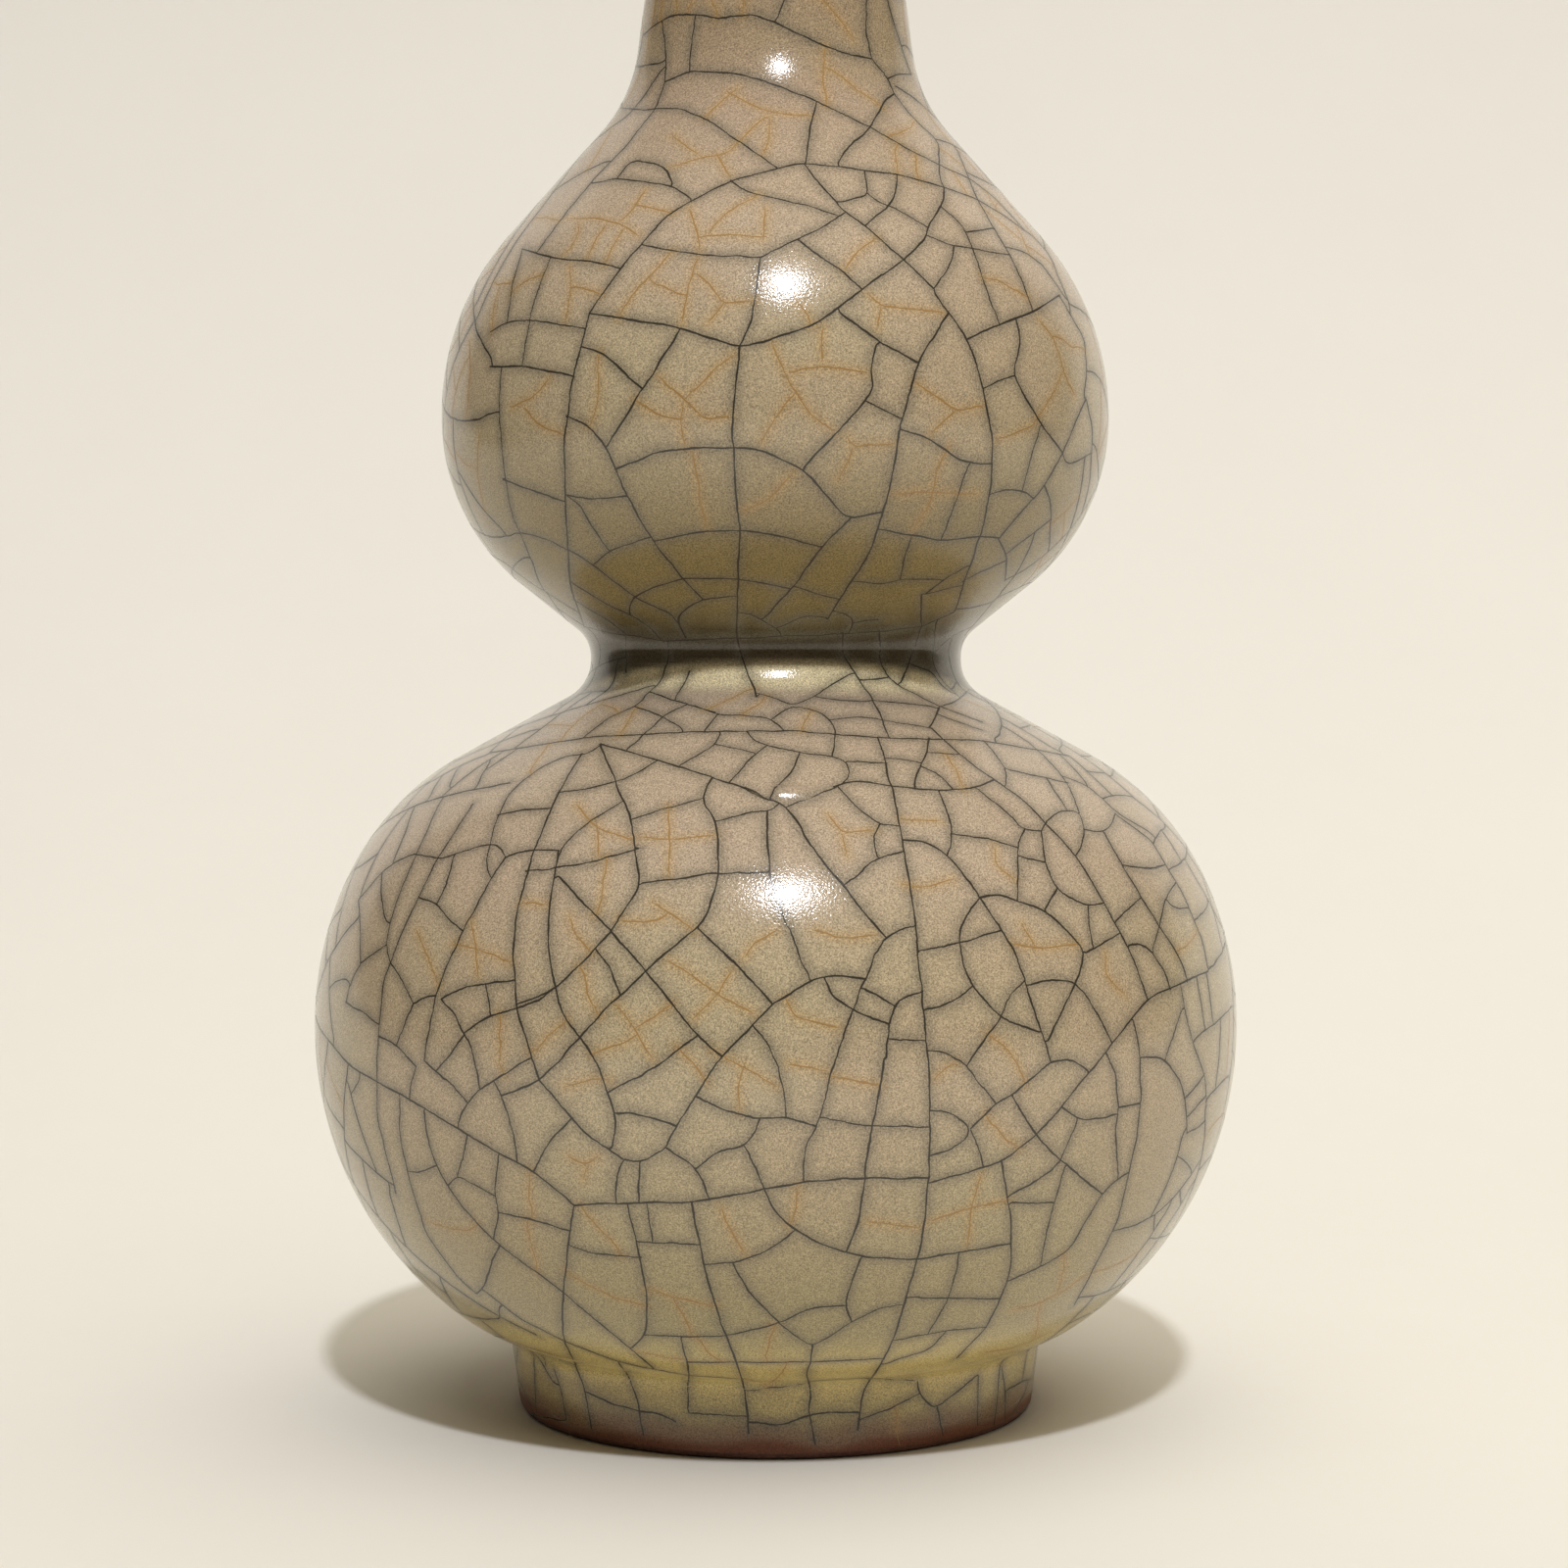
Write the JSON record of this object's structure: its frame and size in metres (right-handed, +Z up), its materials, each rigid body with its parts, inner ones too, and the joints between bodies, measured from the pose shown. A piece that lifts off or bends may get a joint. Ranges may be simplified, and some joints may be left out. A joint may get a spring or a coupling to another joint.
{
  "type": "double gourd vase",
  "caption": "Stoneware vase of two stacked bulbs with a tight waist, short tapering neck and low turned foot, under a thick crackled grey-beige glaze, for flowers or display.",
  "frame": {"origin": "on the vase's axis at the plane it stands on", "axes": "+Z up along the vase's axis, -Y towards the viewer of the picture, +X to the viewer's right"},
  "size_m": [0.132, 0.132, 0.2151],
  "materials": {
    "foot_clay": "bare fired stoneware, brown with iron",
    "body_clay": "fired grey-brown stoneware, under glaze",
    "slip": "fired slip, fine and matt, under glaze",
    "crackle_glaze": "thick glossy grey-beige glaze with dark and brown crackle",
    "inside_glaze": "glossy grey-beige glaze",
    "base_wash": "thin glossy grey-beige glaze"
  },
  "bodies": {
    "root": {"foot_ring": "foot_clay", "foot_slip_seam": "slip", "lower_bulb_bowl": "body_clay", "lower_belly_slip_seam": "slip", "lower_bulb_shoulder": "body_clay", "waist_slip_seam": "slip", "upper_bulb_bowl": "body_clay", "upper_belly_slip_seam": "slip", "upper_bulb_shoulder": "body_clay", "neck_slip_seam": "slip", "neck": "body_clay", "outer_glaze": "crackle_glaze", "inner_glaze": "inside_glaze", "base_glaze": "base_wash"}
  },
  "joints": []
}
